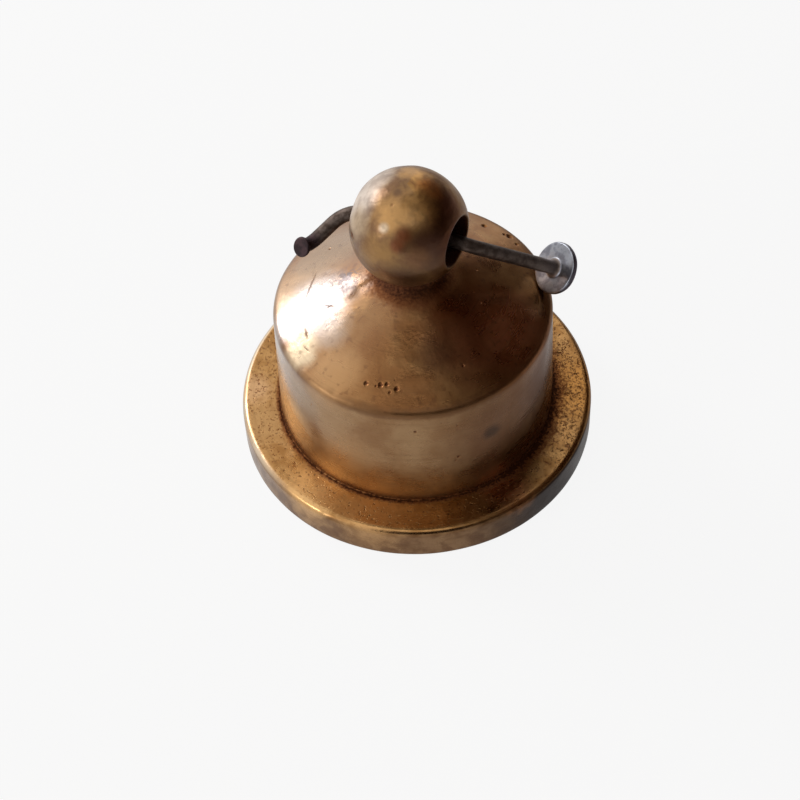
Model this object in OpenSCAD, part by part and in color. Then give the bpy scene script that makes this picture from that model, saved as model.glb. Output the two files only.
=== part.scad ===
// Chandelier finial: a turned brass body with a drilled ball on top, and a bent steel nail
// lying in the ball's cross-bore.
// Millimetres. The origin is the centre of the underside, +Z is up, and the cross-bore runs along X.

/* [Flange] */
// Diameter of the flange
flange_d = 70; // [64:1:80]
// Height of the flange
flange_h = 7.7; // [5:0.1:10]
// Rounding of the flange's upper edge
flange_edge = 1.3; // [0.5:0.1:2]
// Rounding of the flange's lower edge
foot_edge = 0.8; // [0.3:0.1:1.5]

/* [Drum] */
// Diameter of the drum at its upper edge
drum_d = 53.4; // [50:0.2:58]
// How much wider the drum is at its foot, from the draft of the casting
drum_draft = 1; // [0:0.1:2]
// Height of the drum between the flange and its upper edge
drum_h = 25.9; // [20:0.1:32]
// Rounding of the drum's upper edge
drum_edge = 1.5; // [0.5:0.1:2.5]
// Radius of the hollow between the flange and the drum
drum_fillet = 0.3; // [0.1:0.1:1]

/* [Cone and neck] */
// Slope of the cone above the horizontal, in degrees
cone_slope = 26; // [20:0.5:30]
// Diameter of the neck under the ball
neck_d = 11; // [9:0.2:13]
// Length of the neck that shows between the cone and the ball
neck_h = 2; // [1:0.1:4]
// Radius of the hollow between the cone and the neck
neck_fillet = 2; // [0.5:0.1:3]

/* [Ball] */
// Diameter of the ball
ball_d = 22; // [20:0.5:26]
// Diameter of the hole drilled through the ball
bore_d = 9.2; // [8:0.1:10]
// Width of the broken edge at both mouths of that hole
bore_edge = 0.4; // [0.1:0.1:0.8]

/* [Tapped hole in the underside] */
// Core diameter of the tapped hole, 9 for an M10x1 thread
tap_d = 9; // [7:0.1:12]
// Depth of the tapped hole without its drill point
tap_depth = 14; // [8:0.5:20]
// Width of the chamfer at the mouth of the tapped hole
tap_chamfer = 0.8; // [0.3:0.1:1.5]

/* [Nail] */
// Diameter of the nail's shank
nail_d = 2.65; // [2:0.05:3.4]
// How far the nail lies from the lowest line of the bore towards the back, in degrees
lie_angle = 40; // [0:1:50]
// Clearance between the nail and what it rests on
rest_gap = 0.05; // [0.03:0.01:0.1]

/* [Nail head and its leg] */
// Radius of the bend over the edge of the bore, at the middle of the shank
leg_bend_r = 3; // [2.5:0.1:4]
// Diameter of the nail's head
head_d = 10; // [8:0.1:11]
// Thickness of the nail's head
head_t = 1.2; // [0.8:0.1:2]
// Rounding of the head's edges
head_edge = 0.3; // [0.1:0.05:0.35]
// Height of the swell under the head
head_swell = 0.6; // [0.3:0.1:1]
// Length of the straight leg from the bend to the underside of the head
leg_l = 20.2; // [17:0.1:21.5]
// Compass direction of the leg, from +X towards +Y, in degrees
leg_azimuth = 49.5; // [40:0.5:60]

/* [Nail tail] */
// How far inside the mouth of the bore the tail begins to bend
tail_in = 1.4; // [0:0.1:2]
// Radius of the tail's first bend, at the middle of the shank
tail_bend_r = 8; // [6:0.1:10]
// Radius of the tail's second bend, at the middle of the shank
tip_bend_r = 3; // [2.5:0.1:4]
// Compass direction and slope of the tail's hanging stretch, in degrees
tail_azimuth = 232; // [220:1:245]
tail_slope = -34; // [-45:1:-15]
// Length of the tail's hanging stretch between its two bends
tail_l = 4; // [2:0.1:6]
// Compass direction and slope of the tail's turned-up tip, in degrees
tip_azimuth = 249; // [235:1:265]
tip_slope = 19; // [0:1:30]
// Length of the tip beyond the second bend
tip_l = 1.2; // [0.5:0.1:2]
// Diameter of the tip, which its cutting has spread
tip_d = 3.8; // [3.4:0.1:4]
// How far the cut across the tip is turned up, in degrees
tip_cut = 15; // [0:1:25]

/* [Hidden] */
$fn = 96;
overlap = 0.5;
drill_point = 118;
// A bend is this much fatter than the shank, and the straight stretches run this far into it
bend_swell = 0.02;
bend_sink = 0.2;
// The head's clearance from the brass is measured at these angles round its edges and at these
// shares of the leg's length, for slopes between level and the steepest
edge_angles = [-80:4:80];
leg_shares = [0.2:0.1:1];
steepest_slope = -60;
seat_steps = 24;

flange_r = flange_d / 2;
drum_r = drum_d / 2;
drum_foot_r = drum_r + drum_draft / 2;
neck_r = neck_d / 2;
ball_r = ball_d / 2;
bore_r = bore_d / 2;
tap_r = tap_d / 2;
nail_r = nail_d / 2;
head_r = head_d / 2;
tip_r = tip_d / 2;

drum_top = flange_h + drum_h;
cone_top = drum_top + (drum_r - neck_r) * tan(cone_slope);
ball_z = cone_top + neck_h + sqrt(pow(ball_r, 2) - pow(neck_r, 2));
// Half the length of the bore, from the ball's centre to the edge of either mouth
mouth_x = sqrt(pow(ball_r, 2) - pow(bore_r, 2));

// ---- Directions and the nail's route ----

function heading(azimuth, slope) =
    [cos(slope) * cos(azimuth), cos(slope) * sin(azimuth), sin(slope)];

// End of a bend of radius r that starts at p in direction a and leaves in direction b
function bend_end(p, a, b, r) = p + r * tan(acos(a * b) / 2) * (a + b);

lie_r = bore_r - nail_r - rest_gap;
lie = [0, lie_r * sin(lie_angle), ball_z - lie_r * cos(lie_angle)];

right_out = [1, 0, 0];
left_out = [-1, 0, 0];
right_mouth = lie + mouth_x * right_out;
left_turn = lie + (mouth_x - tail_in) * left_out;

// Height of the brass under a point at distance r from the axis
function brass_top(r) =
    r < drum_r ? cone_top - (r - neck_r) * tan(cone_slope) : r < flange_r ? flange_h : 0;

// Clear height of a point above the brass, measured square to the cone
function clear_of_brass(p) = (p.z - brass_top(norm([p.x, p.y]))) * cos(cone_slope);

// Smallest clearance of the head's rounded edges and of the shank when the leg has this slope
function leg_clearance(slope) =
    let (
        out = heading(leg_azimuth, slope),
        side = heading(leg_azimuth + 90, 0),
        down = cross(side, out) * sign(cross(side, out) * [0, 0, -1]),
        start = bend_end(right_mouth, right_out, out, leg_bend_r),
        seat = start + leg_l * out
    )
    min(concat(
        [
            for (t = edge_angles, h = [head_edge, head_t - head_edge])
                clear_of_brass(
                    seat + h * out + (head_r - head_edge) * (cos(t) * down + sin(t) * side)
                ) - head_edge
        ],
        [for (s = leg_shares) clear_of_brass(start + s * leg_l * out) - nail_r]
    ));

// Slope at which the head just rests on the brass, found by halving the interval between
// a slope that is clear of it and one that is not
function resting_slope(clear, low, steps) =
    let (middle = (clear + low) / 2)
    steps == 0 ? clear
    : leg_clearance(middle) > rest_gap ? resting_slope(middle, low, steps - 1)
    : resting_slope(clear, middle, steps - 1);

leg_out = heading(leg_azimuth, resting_slope(0, steepest_slope, seat_steps));
leg_start = bend_end(right_mouth, right_out, leg_out, leg_bend_r);
leg_end = leg_start + leg_l * leg_out;

tail_dir = heading(tail_azimuth, tail_slope);
tail_start = bend_end(left_turn, left_out, tail_dir, tail_bend_r);
tail_end = tail_start + tail_l * tail_dir;

tip_dir = heading(tip_azimuth, tip_slope);
tip_start = bend_end(tail_end, tail_dir, tip_dir, tip_bend_r);

// ---- Turned brass body ----

// What lies between a corner and a circle of radius r that touches both its sides.
// Added to a hollow corner it is a fillet, and taken from a solid one it rounds the edge.
// a and b are unit vectors along the two sides, away from the corner.
module corner_web(corner, a, b, r) {
    half = acos(a * b) / 2;
    middle = (a + b) / norm(a + b);
    centre = corner + middle * r / sin(half);
    touch = r / tan(half);
    difference() {
        polygon([corner - middle * overlap, corner + a * touch, centre, corner + b * touch]);
        translate(centre) circle(r);
    }
}

module body_outline() {
    down_cone = [cos(cone_slope), -sin(cone_slope)];
    down_drum = [drum_foot_r - drum_r, -drum_h] / norm([drum_foot_r - drum_r, drum_h]);
    drum_foot = [drum_foot_r, flange_h];
    shoulder = [drum_r, drum_top];
    neck_foot = [neck_r, cone_top];

    difference() {
        union() {
            polygon([
                [0, 0], [flange_r, 0], [flange_r, flange_h], drum_foot,
                shoulder, neck_foot, [neck_r, ball_z], [0, ball_z]
            ]);
            corner_web(drum_foot, [1, 0], -down_drum, drum_fillet);
            corner_web(neck_foot, [0, 1], down_cone, neck_fillet);
        }
        corner_web(shoulder, -down_cone, down_drum, drum_edge);
        corner_web([flange_r, flange_h], [-1, 0], [0, -1], flange_edge);
        corner_web([flange_r, 0], [-1, 0], [0, 1], foot_edge);
    }
}

module tapped_hole() {
    point_h = tap_r / tan(drill_point / 2);
    translate([0, 0, -overlap]) cylinder(h = tap_depth + overlap, r = tap_r);
    translate([0, 0, tap_depth]) cylinder(h = point_h, r1 = tap_r, r2 = 0);
    translate([0, 0, -overlap]) cylinder(
        h = tap_chamfer + overlap,
        r1 = tap_r + tap_chamfer + overlap,
        r2 = tap_r
    );
}

// Hole along X with broken edges, which is taken from the ball
module cross_bore() {
    edge_start = mouth_x - bore_edge;
    edge_h = ball_r - edge_start + overlap;
    rotate([0, 90, 0]) cylinder(h = 2 * ball_r + 2 * overlap, r = bore_r, center = true);
    for (turn = [-90, 90])
        rotate([0, turn, 0]) translate([0, 0, edge_start])
            cylinder(h = edge_h, r1 = bore_r, r2 = bore_r + edge_h);
}

module finial_body() {
    color("#a9793c")
    difference() {
        union() {
            rotate_extrude() body_outline();
            translate([0, 0, ball_z]) sphere(ball_r);
        }
        translate([0, 0, ball_z]) cross_bore();
        tapped_hole();
    }
}

// ---- Bent steel nail ----

// Puts its children at p with their +Z along dir
module aim(p, dir) {
    translate(p) rotate([0, acos(dir.z), atan2(dir.y, dir.x)]) children();
}

// Straight stretch of the shank, which runs on into the bends or the head at its ends
module rod(from, to) {
    length = norm(to - from);
    aim(from, (to - from) / length)
        translate([0, 0, -bend_sink]) cylinder(h = length + 2 * bend_sink, r = nail_r);
}

// Bend of radius r that starts at p in direction a and leaves in direction b
module elbow(p, a, b, r) {
    angle = acos(a * b);
    inward = (b - a * (a * b)) / sin(angle);
    axis = cross(a, inward);
    centre = p + r * inward;
    multmatrix([
        [-inward.x, a.x, axis.x, centre.x],
        [-inward.y, a.y, axis.y, centre.y],
        [-inward.z, a.z, axis.z, centre.z],
        [0, 0, 0, 1]
    ])
    rotate_extrude(angle = angle) translate([r, 0]) circle(nail_r + bend_swell);
}

module nail_head() {
    rotate_extrude() difference() {
        polygon([
            [0, -head_swell], [nail_r, -head_swell], [nail_r + head_swell, 0],
            [head_r, 0], [head_r, head_t], [0, head_t]
        ]);
        corner_web([head_r, 0], [-1, 0], [0, 1], head_edge);
        corner_web([head_r, head_t], [-1, 0], [0, -1], head_edge);
    }
}

module nail_tip() {
    reach = tip_l + tip_r * tan(tip_cut);
    difference() {
        union() {
            translate([0, 0, -bend_sink]) cylinder(h = 2 * bend_sink, r = nail_r);
            cylinder(h = reach, r1 = nail_r, r2 = tip_r);
        }
        translate([0, 0, tip_l]) rotate([0, -tip_cut, 0])
            translate([-2 * tip_r, -2 * tip_r, 0]) cube([4 * tip_r, 4 * tip_r, 4 * tip_r]);
    }
}

module nail() {
    color("#5d5a58") union() {
        rod(left_turn, right_mouth);
        elbow(right_mouth, right_out, leg_out, leg_bend_r);
        rod(leg_start, leg_end);
        aim(leg_end, leg_out) nail_head();
        elbow(left_turn, left_out, tail_dir, tail_bend_r);
        rod(tail_start, tail_end);
        elbow(tail_end, tail_dir, tip_dir, tip_bend_r);
        aim(tip_start, tip_dir) nail_tip();
    }
}

finial_body();
nail();
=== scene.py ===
# %% [markdown]
# # A drilled brass finial with a nail through it
#
# This is the bottom finial of a chandelier: a heavy knob of cast brass, turned on a lathe, that
# screws on the end of the lamp's threaded tube. Its ball was drilled through to take a hook, and
# somebody has pushed a bent nail through the hole instead.
#
# Two real things make the object, so two meshes are made here: the brass and the nail. The model
# from the CAD step comes in first, as a fixed frame. It says how big everything is and where it
# sits, and each mesh below stands in the place of one of its solids.

# %% Load the frame
import math

import bmesh
import bpy
import numpy as np
from mathutils import Matrix, Vector, noise
from mathutils.kdtree import KDTree


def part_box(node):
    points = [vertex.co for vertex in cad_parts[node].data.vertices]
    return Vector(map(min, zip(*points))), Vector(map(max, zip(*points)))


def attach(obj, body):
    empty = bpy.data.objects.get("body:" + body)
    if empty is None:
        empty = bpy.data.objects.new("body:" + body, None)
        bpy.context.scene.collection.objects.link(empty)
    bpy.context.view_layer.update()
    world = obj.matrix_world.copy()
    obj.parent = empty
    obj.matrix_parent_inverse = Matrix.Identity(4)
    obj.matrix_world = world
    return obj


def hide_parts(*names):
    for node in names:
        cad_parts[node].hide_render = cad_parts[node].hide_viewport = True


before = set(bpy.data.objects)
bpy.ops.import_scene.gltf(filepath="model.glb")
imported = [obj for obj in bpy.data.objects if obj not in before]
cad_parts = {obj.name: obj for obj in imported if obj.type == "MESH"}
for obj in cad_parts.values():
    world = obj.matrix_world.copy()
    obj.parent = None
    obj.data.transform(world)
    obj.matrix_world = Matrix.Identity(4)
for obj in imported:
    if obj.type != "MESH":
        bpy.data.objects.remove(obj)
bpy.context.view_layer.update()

brass_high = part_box("finial_body")[1]
print("frame:", sorted(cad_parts), "height", round(brass_high.z, 5), "m")

# %% [markdown]
# ## The camera
#
# A camera is easiest to place by the angles that its owner would name: how far it has walked
# round the object, how high it looks down from, how much it leans, and how far away it stands.
# Three rotations, one for each angle, then say where it looks, and it backs away from the point
# it aims at. The long lens keeps the shape of a small object true.

# %% Place the camera
def put_in_scene(name, data):
    """An object that shows a camera, a lamp or a mesh in the scene."""
    thing = bpy.data.objects.new(name, data)
    bpy.context.scene.collection.objects.link(thing)
    return thing


mm = 0.001
walk_round = 28.0
look_down = 51.9
lean = -3.18
camera_distance = 404.2 * mm
aim_point = Vector((-3.0, -1.6, 4.4)) * mm

looking = (
    Matrix.Rotation(math.radians(walk_round), 3, "Z")
    @ Matrix.Rotation(math.radians(90 - look_down), 3, "X")
    @ Matrix.Rotation(math.radians(lean), 3, "Z")
)
lens = bpy.data.cameras.new("lens")
lens.lens = 90
lens.sensor_width = 36
camera = put_in_scene("camera", lens)
camera.location = aim_point + looking @ Vector((0, 0, camera_distance))
camera.rotation_euler = looking.to_euler()
bpy.context.scene.camera = camera
bpy.context.scene.view_settings.view_transform = "Standard"
print("camera at", [round(x, 4) for x in camera.location])

# %% [markdown]
# ## Helpers for node materials
#
# A material is a small tree of nodes. Building one in Python means many calls that say the same
# thing: make a node, set a few options, plug values or other nodes into it. Two short helpers
# take up that work, so that each material below reads as a list of what it does.

# %% A node and its inputs in one call
def plug(tree, value, socket):
    """Links a node or a socket to a socket, or sets a plain value on it."""
    if isinstance(value, bpy.types.Node):
        value = value.outputs[0]
    if isinstance(value, bpy.types.NodeSocket):
        tree.links.new(value, socket)
    else:
        socket.default_value = value


def node(tree, kind, *inputs, **options):
    """Makes a node, fills its sockets in order and by name, and returns it."""
    made = tree.nodes.new("ShaderNode" + kind)
    named = options.pop("sockets", {})
    for option, value in options.items():
        setattr(made, option, value)
    for key, value in list(enumerate(inputs)) + list(named.items()):
        if value is not None:
            plug(tree, value, made.inputs[key])
    return made


print("nodes are made by", node.__name__, "and joined by", plug.__name__)

# %% [markdown]
# ## Sums, fades and blends
#
# Most nodes of a material are sums on numbers: add two, take the larger one, or let a value go
# smoothly from one number to another. Each of these gets a helper with a plain name. The fade is
# the most useful one, because nearly every worn edge and every patch of dirt is a fade.

# %% The nodes that are used most
def math_node(tree, operation, *inputs):
    """A Math node."""
    return node(tree, "Math", *inputs, operation=operation)


def vector_node(tree, operation, *inputs):
    """A Vector Math node."""
    return node(tree, "VectorMath", *inputs, operation=operation)


def fade(tree, value, start, end, low=0.0, high=1.0):
    """Goes smoothly from low to high as value goes from start to end."""
    return node(
        tree, "MapRange", value, start, end, low, high, interpolation_type="SMOOTHSTEP"
    )


def blend_colour(tree, factor, first, second):
    """Mixes two colours and gives back the socket of the result."""
    mix = node(tree, "Mix", data_type="RGBA", blend_type="MIX")
    for name, value in (("Factor_Float", factor), ("A_Color", first), ("B_Color", second)):
        plug(tree, value, next(s for s in mix.inputs if s.identifier == name))
    return next(s for s in mix.outputs if s.identifier == "Result_Color")


print("helpers:", [made.__name__ for made in (math_node, vector_node, fade, blend_colour)])

# %% [markdown]
# ## Colours and empty materials
#
# A paint chart gives a colour as the eye sees it, from 0 to 255. Light adds up on another scale,
# the linear one, and Blender wants that. So one helper turns the first into the second.

# %% Colours as on a paint chart
def colour(red, green, blue):
    """A colour from 0 to 255 turned into the linear one that Blender needs."""
    linear = []
    for part in (red, green, blue):
        share = part / 255
        linear.append(share / 12.92 if share < 0.04045 else ((share + 0.055) / 1.055) ** 2.4)
    return (*linear, 1.0)


def new_material(name):
    """An empty node material and its tree."""
    material = bpy.data.materials.new(name)
    material.use_nodes = True
    material.node_tree.nodes.clear()
    return material, material.node_tree


def finish_material(tree, shader):
    """Plugs the last shader into the material's output."""
    node(tree, "OutputMaterial", shader)


print("half way up the chart is", round(colour(128, 128, 128)[0], 2), "of the light")

# %% [markdown]
# ## The table
#
# Polished metal has hardly any colour of its own: it shows the room. So the room is built before
# the metal is judged, and the pale table comes first. The camera sees it lifted to a clean white.
# Metal sees more of it on the left, where the window lights it, and less on the right.

# %% The table
def towards(azimuth, height):
    """Unit vector in a compass direction, height degrees above the table."""
    flat = math.cos(math.radians(height))
    return Vector((
        flat * math.cos(math.radians(azimuth)),
        flat * math.sin(math.radians(azimuth)),
        math.sin(math.radians(height)),
    ))


def ray_kinds(tree):
    """What a ray is for, and 1 for those that the camera sends, also through glass."""
    rays = node(tree, "LightPath").outputs
    return rays, math_node(tree, "MAXIMUM", rays["Is Camera Ray"], rays["Is Transmission Ray"])


def table_material():
    """Pale and matt. Lifted to white for the camera. Mirrors see the window's side brighter."""
    material, tree = new_material("pale table")
    rays, seen = ray_kinds(tree)
    lifted = math_node(tree, "MULTIPLY", seen, table_lift)
    place = node(tree, "TexCoord").outputs["Object"]
    rightwards = vector_node(tree, "DOT_PRODUCT", place, tuple(to_the_right)).outputs["Value"]
    mirrored = fade(tree, rightwards, -table_fade, table_fade, *mirrored_lift)
    mirrored = math_node(tree, "MULTIPLY", rays["Is Glossy Ray"], mirrored)
    lifted = math_node(tree, "MAXIMUM", lifted, mirrored)
    matt = node(tree, "BsdfDiffuse", table_colour)
    white = node(tree, "Emission", (1, 1, 1, 1), 1.0)
    finish_material(tree, node(tree, "MixShader", lifted, matt, white))
    return material


to_the_right = towards(walk_round, 0)
table_colour = (0.93, 0.93, 0.93, 1)
table_lift = 0.9
mirrored_lift = (0.85, 0.25)
table_fade = 70 * mm
table_half = 3.0
corners = [(-table_half, -table_half), (table_half, -table_half)]
corners += [(table_half, table_half), (-table_half, table_half)]
table_mesh = bpy.data.meshes.new("table")
table_mesh.from_pydata([(x, y, 0) for x, y in corners], [], [(0, 1, 2, 3)])
table_mesh.materials.append(table_material())
table = put_in_scene("table", table_mesh)
print("table:", 2 * table_half, "m square")

# %% [markdown]
# ## The dark side of the room
#
# Brass looks like brass because of the dark things in it. Furniture on the right gives it a dark
# side, somebody stands in front, and there is a ceiling. Each is a curved card that the camera
# can't see, because only the light and the brass need it.

# %% Cards for furniture, person and ceiling
def card(name, tone, azimuths, heights, distance=1.4, steps=12):
    """A curved card round the object, part of a big ball, that only light and mirrors see."""
    rows = []
    for i in range(steps + 1):
        height = heights[0] + (heights[1] - heights[0]) * i / steps
        for j in range(steps + 1):
            azimuth = azimuths[0] + (azimuths[1] - azimuths[0]) * j / steps
            rows.append(towards(azimuth, height) * distance)
    across = steps + 1
    faces = [
        (i * across + j, i * across + j + 1, (i + 1) * across + j + 1, (i + 1) * across + j)
        for i in range(steps)
        for j in range(steps)
    ]
    mesh = bpy.data.meshes.new(name)
    mesh.from_pydata(rows, [], faces)
    material, tree = new_material(name)
    finish_material(tree, node(tree, "BsdfDiffuse", tone))
    mesh.materials.append(material)
    flag = put_in_scene(name, mesh)
    flag.visible_camera = False


card("dark furniture", colour(102, 76, 60), azimuths=(-35, 92), heights=(3, 74))
card("person with the camera", colour(84, 66, 54), azimuths=(-86, -35), heights=(2, 46))
card("ceiling", colour(190, 180, 170), azimuths=(0, 360), heights=(74, 90))
print("room: furniture on the right, somebody in front, ceiling above")

# %% [markdown]
# ## The windows
#
# A big window stands to the left and behind, with a pale wall beside it that it lights, and a
# small window is in front on the left. Each is an area lamp, because the brass mirrors its shape.
# What a window gives follows from how bright it is and how big, so those are the numbers to
# choose. A faint even light stands for the rest of the room, which the brass mirrors as white.

# %% The windows and the light of the room
def window(name, azimuth, height, width, tall, radiance, distance=0.9):
    """An area lamp that faces the object. Its power follows from its size and brightness."""
    lamp = bpy.data.lights.new(name, "AREA")
    lamp.shape = "RECTANGLE"
    lamp.size = width
    lamp.size_y = tall
    lamp.energy = radiance * width * tall * math.pi
    pane = put_in_scene(name, lamp)
    pane.location = towards(azimuth, height) * distance
    pane.rotation_euler = (-towards(azimuth, height)).to_track_quat("-Z", "Y").to_euler()


window("window", azimuth=169, height=33, width=0.24, tall=0.28, radiance=8.5)
window("pale wall beside it", azimuth=158, height=24, width=0.5, tall=0.4, radiance=0.5)
window("small window", azimuth=236, height=25, width=0.14, tall=0.12, radiance=11.0)

room_strength = 0.42
world = bpy.data.worlds.new("room")
world.use_nodes = True
world.node_tree.nodes.clear()
sky = world.node_tree
rays, seen = ray_kinds(sky)
seen = math_node(sky, "MAXIMUM", seen, rays["Is Glossy Ray"])
soft = node(sky, "Background", (1.0, 0.98, 0.95, 1), room_strength)
white = node(sky, "Background", (1, 1, 1, 1), 1.0)
node(sky, "OutputWorld", node(sky, "MixShader", seen, soft, white))
bpy.context.scene.world = world

# %% [markdown]
# ## The turned outline
#
# A lathe makes a shape that is the same all the way round, so half of its section says everything.
# The section is a chain of straight cuts with a rounded corner between each two. The corners are
# kept as a short list with a radius each, and one function lays points along the cuts and round
# the corners. A worn edge simply gets a bigger radius.

# %% Points along straight cuts and round corners
def straight(start, end, spacing):
    """Points from start to end, about spacing apart, with both ends."""
    count = max(1, round((end - start).length / spacing))
    return [start.lerp(end, i / count) for i in range(count + 1)]


def rounded_chain(corners, spacings, turn_step=9.0):
    """Points along a chain of (point, radius) corners. spacings has one value for each cut."""
    points = [corners[0][0]]
    for i in range(1, len(corners)):
        corner, radius = corners[i]
        back = (corners[i - 1][0] - corner).normalized()
        if i == len(corners) - 1:
            points += straight(points[-1], corner, spacings[i - 1])[1:]
            break
        ahead = (corners[i + 1][0] - corner).normalized()
        half = back.angle(ahead) / 2
        reach = radius / math.tan(half)
        points += straight(points[-1], corner + back * reach, spacings[i - 1])[1:]
        middle = (back + ahead).normalized()
        centre = corner + middle * (radius / math.sin(half))
        turn = math.pi - 2 * half
        steps = max(2, round(math.degrees(turn) / turn_step))
        first = corner + back * reach - centre
        last = corner + ahead * reach - centre
        for k in range(1, steps + 1):
            share = k / steps
            spoke = first * math.sin((1 - share) * turn) + last * math.sin(share * turn)
            points.append(centre + spoke / math.sin(turn))
    return points


square_corner = [(Vector((0, 0)), 0), (Vector((1, 0)), 0.2), (Vector((1, 1)), 0)]
print("a square corner, rounded:", len(rounded_chain(square_corner, [1, 1])), "points")

# %% [markdown]
# ## The outline of the brass
#
# The section starts at the rim of the tapped hole and goes out along the flat underside, up the
# flange, in to the drum, up to its shoulder, and up the cone to the neck. The flange's upper edge
# and the shoulder are worn, so they are rounder than the edge underneath.

# %% The brass outline, from the tapped hole's rim out, up and in to the ball
flange_r = brass_high.x
flange_h = 7.7 * mm
drum_r = 26.7 * mm
drum_foot_r = 27.2 * mm
shoulder_h = 33.6 * mm
cone_slope = math.radians(26)
neck_r = 5.5 * mm
ball_r = 11.0 * mm
ball_h = brass_high.z - ball_r
cone_top = shoulder_h + (drum_r - neck_r) * math.tan(cone_slope)
neck_end = ball_h - 8 * mm
hole_ring_r = 9.0 * mm

brass_corners = [
    (Vector((hole_ring_r, 0)), 0),
    (Vector((flange_r, 0)), 0.8 * mm),
    (Vector((flange_r, flange_h)), 1.3 * mm),
    (Vector((drum_foot_r, flange_h)), 0.3 * mm),
    (Vector((drum_r, shoulder_h)), 1.5 * mm),
    (Vector((neck_r, cone_top)), 2.0 * mm),
    (Vector((neck_r, neck_end)), 0),
]
brass_spacings = [3.0 * mm, 0.9 * mm, 0.6 * mm, 1.0 * mm, 0.7 * mm, 0.7 * mm]
outline = rounded_chain(brass_corners, brass_spacings)
print("brass outline:", len(outline), "points")

# %% [markdown]
# ## Spinning the outline
#
# The spin puts a copy of the outline at each of a few hundred angles and joins neighbours with
# quads. That is what a lathe does, and it leaves no seam, because the last column is joined to the
# first one.

# %% Spin the outside
columns = 288
hole_columns = 48


def ring_points(radius, height, count):
    """A level ring of points."""
    angles = [2 * math.pi * k / count for k in range(count)]
    return [(radius * math.cos(a), radius * math.sin(a), height) for a in angles]


def join_rings(faces, lower, upper, count):
    """Quads between two rings that start at these point numbers."""
    for k in range(count):
        after = (k + 1) % count
        faces.append((lower + k, lower + after, upper + after, upper + k))


points = []
faces = []
starts = []
for radius, height in outline:
    starts.append(len(points))
    points += ring_points(radius, height, columns)
for lower, upper in zip(starts, starts[1:]):
    join_rings(faces, lower, upper, columns)
faces.append(tuple(range(starts[-1], starts[-1] + columns)))
print("outside:", len(points), "points,", len(faces), "faces")

# %% [markdown]
# ## The thread
#
# The finial screws on the lamp's tube, so its underside has a tapped hole. The hole is spun too,
# with one change: the radius goes up and down with the height, and the height at which it does so
# climbs by one pitch in each turn. That is all a screw thread is.
#
# The hole needs far fewer columns than the flange, so the flat ring between them joins several
# columns of the one to a single column of the other.

# %% Cut the thread in the underside
core_r = 4.5 * mm
thread_depth = 0.54 * mm
pitch = 1.0 * mm
chamfer = 0.8 * mm
hole_depth = 14.0 * mm
drill_point = math.radians(118)
crest = 0.12
rings_per_turn = 8


def thread_radius(angle, height):
    """Radius of the threaded wall: a blunt V that climbs one pitch in each turn."""
    turn = height / pitch - angle / (2 * math.pi)
    groove = abs(2 * (turn - math.floor(turn)) - 1)
    groove = min(1.0, max(0.0, (groove - crest) / (1 - 2 * crest)))
    run_in = min(1.0, max(0.0, (height - chamfer) / pitch))
    run_out = min(1.0, max(0.0, (hole_depth - height) / pitch))
    return core_r + thread_depth * groove * min(run_in, run_out)


rim = len(points)
points += ring_points(core_r + chamfer, 0, hole_columns)
spokes = columns // hole_columns
for k in range(hole_columns):
    after = (k + 1) % hole_columns
    outer = [starts[0] + (k * spokes + s) % columns for s in range(spokes + 1)]
    faces.append((rim + k, rim + after, *reversed(outer)))
wall_rings = round((hole_depth - chamfer) / pitch * rings_per_turn)
above = rim
for i in range(wall_rings + 1):
    height = chamfer + (hole_depth - chamfer) * i / wall_rings
    ring = len(points)
    for k in range(hole_columns):
        angle = 2 * math.pi * k / hole_columns
        radius = thread_radius(angle, height)
        points.append((radius * math.cos(angle), radius * math.sin(angle), height))
    join_rings(faces, ring, above, hole_columns)
    above = ring
tip = len(points)
points.append((0, 0, hole_depth + core_r / math.tan(drill_point / 2)))
for k in range(hole_columns):
    faces.append((above + (k + 1) % hole_columns, above + k, tip))
print("thread:", round((hole_depth - chamfer) / pitch, 1), "turns,", wall_rings, "rings")

# %% [markdown]
# ## The drilled ball
#
# The ball could be a sphere with a hole cut through it, but a cut leaves a razor edge, and on the
# real thing years of hooks have softened it. Spun round the axis of its own hole instead, the ball
# is one closed loop: along the wall of the hole, round the worn lip, over the outside and back
# round the other lip. The lips then have any softness that is wanted.

# %% Spin the ball round its hole
bore_r = 4.6 * mm
lip_r = 0.6 * mm
ball_columns = 132
lip_centre = Vector((math.sqrt((ball_r - lip_r) ** 2 - (bore_r + lip_r) ** 2), bore_r + lip_r))
lip_turn = math.atan2(lip_centre.y, lip_centre.x)


def arc(centre, radius, start, end, steps):
    """Points on an arc from the angle start to the angle end, in radians, with both ends."""
    turns = [start + (end - start) * k / steps for k in range(steps + 1)]
    return [centre + Vector((math.cos(t), math.sin(t))) * radius for t in turns]


right_lip = arc(lip_centre, lip_r, -math.pi / 2, lip_turn, 7)
outside = arc(Vector((0, 0)), ball_r, lip_turn, math.pi - lip_turn, 72)
left_lip = [Vector((-p.x, p.y)) for p in reversed(right_lip)]
wall = straight(left_lip[-1], right_lip[0], 1.2 * mm)
loop = right_lip + outside[1:-1] + left_lip + wall[1:-1]
ball_points = []
for along, out in loop:
    for k in range(ball_columns):
        a = 2 * math.pi * k / ball_columns
        ball_points.append((along, out * math.sin(a), ball_h - out * math.cos(a)))
ball_faces = []
for i in range(len(loop)):
    lower = i * ball_columns
    upper = (i + 1) % len(loop) * ball_columns
    join_rings(ball_faces, lower, upper, ball_columns)
print("ball:", len(ball_points), "points, lip", lip_r / mm, "mm")

# %% [markdown]
# ## One piece of brass
#
# Ball and neck were cast in one. The two meshes overlap at the neck, so a union cuts away what is
# inside and leaves one closed skin. The result is taken over at once and the loose ball thrown
# away, so nothing is left to be worked out later.

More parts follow.
